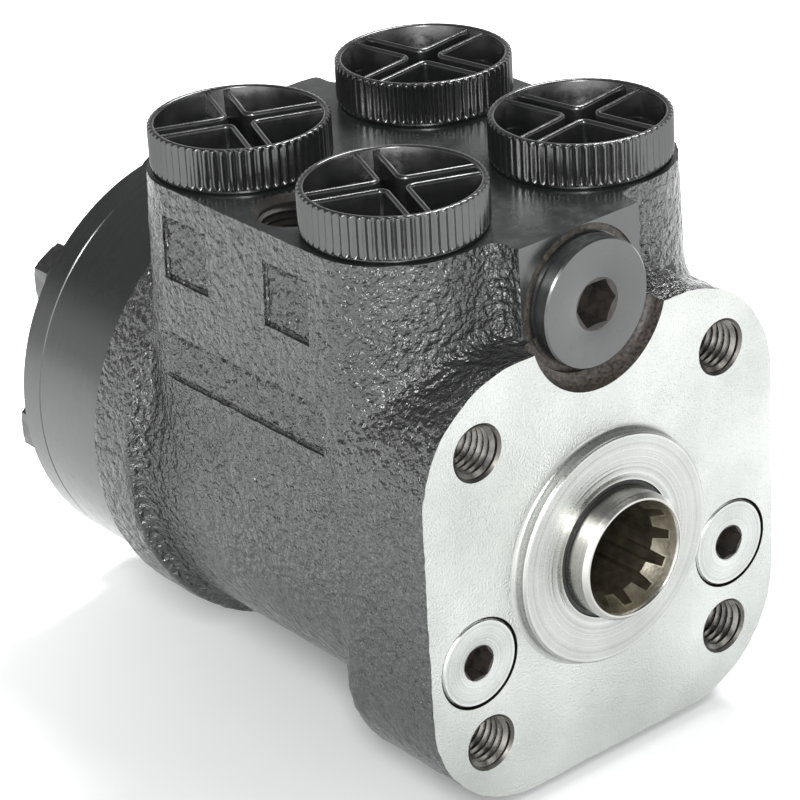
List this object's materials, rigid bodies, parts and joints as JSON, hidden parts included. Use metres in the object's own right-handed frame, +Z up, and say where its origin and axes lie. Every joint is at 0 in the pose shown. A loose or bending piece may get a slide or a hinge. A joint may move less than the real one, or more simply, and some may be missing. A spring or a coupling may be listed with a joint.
{
  "type": "orbital steering unit",
  "caption": "Hydraulic steering unit: splined rotary valve and gerotor meter in a cast housing with a column flange and capped top ports.",
  "frame": {"origin": "centre of the column flange face, on the shaft axis", "axes": "-Y out of the column flange towards the steering column; +Z up, out of the port face; +X to the right when facing the flange"},
  "size_m": [0.0914, 0.1379, 0.1154],
  "materials": {
    "black_paint_smooth": "smooth semi-gloss black paint over machined steel",
    "black_paint_casting": "semi-gloss black paint on rough iron casting, machined faces bare",
    "machined_steel": "turned and ground steel",
    "screw_steel": "zinc plated",
    "ground_steel": "ground and hardened steel with an oil film",
    "spring_steel": "dark spring steel",
    "zinc_plated_steel": "zinc plated steel",
    "seal_washer": "soft metal seal washer, painted over",
    "black_rubber": "matte",
    "cap_plastic": "dark brown moulded plastic"
  },
  "bodies": {
    "housing_body": {"housing": "black_paint_casting", "distributor_plate": "black_paint_smooth", "gear_ring": "black_paint_smooth", "end_cover": "black_paint_smooth", "cover_screws": "black_paint_smooth", "pinned_screw": "black_paint_smooth", "cover_washers": "black_paint_smooth", "stack_o_rings": "black_rubber", "bearing_race_front": "ground_steel", "shaft_seal": "black_rubber", "dust_seal": "black_rubber", "relief_plug": "black_paint_smooth", "relief_seal": "seal_washer", "relief_adjuster": "screw_steel", "relief_spring": "spring_steel", "relief_seat": "machined_steel", "shock_plug_left": "zinc_plated_steel", "shock_plug_right": "zinc_plated_steel", "shock_spring_left": "spring_steel", "shock_spring_right": "spring_steel", "check_bush": "machined_steel", "suction_pins": "spring_steel"},
    "sleeve_body": {"sleeve": "ground_steel", "cross_pin": "ground_steel", "neutral_springs": "spring_steel", "spring_ring": "spring_steel", "bearing_race_rear": "ground_steel"},
    "spool_body": {"spool": "ground_steel"},
    "needle_body": {"needle_cage": "ground_steel"},
    "orbit_body": {"rotor_spacer": "machined_steel"},
    "rotor_body": {"rotor": "ground_steel"},
    "cardan_body": {"cardan_shaft": "machined_steel"},
    "relief_body": {"relief_poppet": "ground_steel"},
    "shock_left_body": {"shock_ball_left": "ground_steel"},
    "shock_right_body": {"shock_ball_right": "ground_steel"},
    "check_body": {"check_ball": "ground_steel"},
    "suction_left_body": {"suction_ball_left": "ground_steel"},
    "suction_right_body": {"suction_ball_right": "ground_steel"},
    "cap_front_left_body": {"port_cap_front_left": "cap_plastic"},
    "cap_front_right_body": {"port_cap_front_right": "cap_plastic"},
    "cap_rear_left_body": {"port_cap_rear_left": "cap_plastic"},
    "cap_rear_right_body": {"port_cap_rear_right": "cap_plastic"}
  },
  "joints": [
    {"name": "sleeve_turn", "type": "hinge", "parent": "housing_body", "child": "sleeve_body", "pos_m": [0, 0, 0], "axis": [0, 1, 0], "continuous": true},
    {"name": "spool_twist", "type": "hinge", "parent": "sleeve_body", "child": "spool_body", "pos_m": [0, 0, 0], "axis": [0, 1, 0], "range_deg": [-8, 8], "stiffness_Nm_per_rad": 12},
    {"name": "needle_cage_turn", "type": "hinge", "parent": "housing_body", "child": "needle_body", "pos_m": [0, 0, 0], "axis": [0, 1, 0], "continuous": true},
    {"name": "rotor_orbit", "type": "hinge", "parent": "housing_body", "child": "orbit_body", "pos_m": [0, 0, 0], "axis": [0, 1, 0], "continuous": true},
    {"name": "rotor_spin", "type": "hinge", "parent": "orbit_body", "child": "rotor_body", "pos_m": [0, 0.11041, -0.00343], "axis": [0, 1, 0], "continuous": true},
    {"name": "cardan_turn", "type": "hinge", "parent": "orbit_body", "child": "cardan_body", "pos_m": [0, 0.04, 0], "axis": [0, 0.9988, -0.0487], "continuous": true},
    {"name": "cap_front_left_pull", "type": "slide", "parent": "housing_body", "child": "cap_front_left_body", "axis": [0, 0, 1], "range_m": [0, 0.06]},
    {"name": "cap_front_right_pull", "type": "slide", "parent": "housing_body", "child": "cap_front_right_body", "axis": [0, 0, 1], "range_m": [0, 0.06]},
    {"name": "cap_rear_left_pull", "type": "slide", "parent": "housing_body", "child": "cap_rear_left_body", "axis": [0, 0, 1], "range_m": [0, 0.06]},
    {"name": "cap_rear_right_pull", "type": "slide", "parent": "housing_body", "child": "cap_rear_right_body", "axis": [0, 0, 1], "range_m": [0, 0.06]},
    {"name": "relief_lift", "type": "slide", "parent": "housing_body", "child": "relief_body", "axis": [0, -1, 0], "range_m": [0, 0.0015], "stiffness_N_per_m": 20000, "springref_m": -0.004, "deforming": ["relief_spring"]},
    {"name": "shock_lift_left", "type": "slide", "parent": "housing_body", "child": "shock_left_body", "axis": [0, -1, 0], "range_m": [0, 0.0015], "stiffness_N_per_m": 12000, "springref_m": -0.004, "deforming": ["shock_spring_left"]},
    {"name": "shock_lift_right", "type": "slide", "parent": "housing_body", "child": "shock_right_body", "axis": [0, -1, 0], "range_m": [0, 0.0015], "stiffness_N_per_m": 12000, "springref_m": -0.004, "deforming": ["shock_spring_right"]},
    {"name": "check_lift", "type": "slide", "parent": "housing_body", "child": "check_body", "axis": [0, 0, 1], "range_m": [0, 0.002]},
    {"name": "suction_lift_left", "type": "slide", "parent": "housing_body", "child": "suction_left_body", "axis": [0, 0, 1], "range_m": [0, 0.002]},
    {"name": "suction_lift_right", "type": "slide", "parent": "housing_body", "child": "suction_right_body", "axis": [0, 0, 1], "range_m": [0, 0.002]}
  ],
  "couplings": [
    {"joint": "needle_cage_turn", "follows": "sleeve_turn", "ratio": 0.5},
    {"joint": "rotor_orbit", "follows": "sleeve_turn", "ratio": -6},
    {"joint": "rotor_spin", "follows": "sleeve_turn", "ratio": 7},
    {"joint": "cardan_turn", "follows": "sleeve_turn", "ratio": 7}
  ]
}
